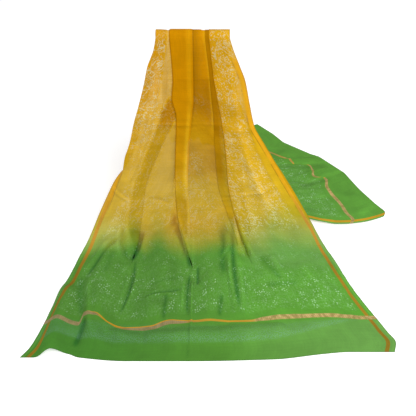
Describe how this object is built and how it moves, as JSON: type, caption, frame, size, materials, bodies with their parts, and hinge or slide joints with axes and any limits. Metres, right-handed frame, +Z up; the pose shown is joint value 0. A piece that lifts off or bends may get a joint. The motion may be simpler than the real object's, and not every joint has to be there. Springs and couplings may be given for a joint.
{
  "type": "block printed dupatta",
  "caption": "Sheer rectangular block printed dupatta hung in pleats over an unseen bar, both ends spread on the surface, yellow shading to green with woven gold borders.",
  "frame": {"origin": "centre of the bounding box on the surface that the cloth rests on", "axes": "+Z up, -Y towards the front hem, +X to the right seen from the front hem"},
  "size_m": [1.045, 1.25, 0.5742],
  "materials": {
    "cloth": "sheer woven silk and cotton, printed, with gold thread borders"
  },
  "bodies": {
    "root": {"dupatta": "cloth"}
  },
  "joints": []
}
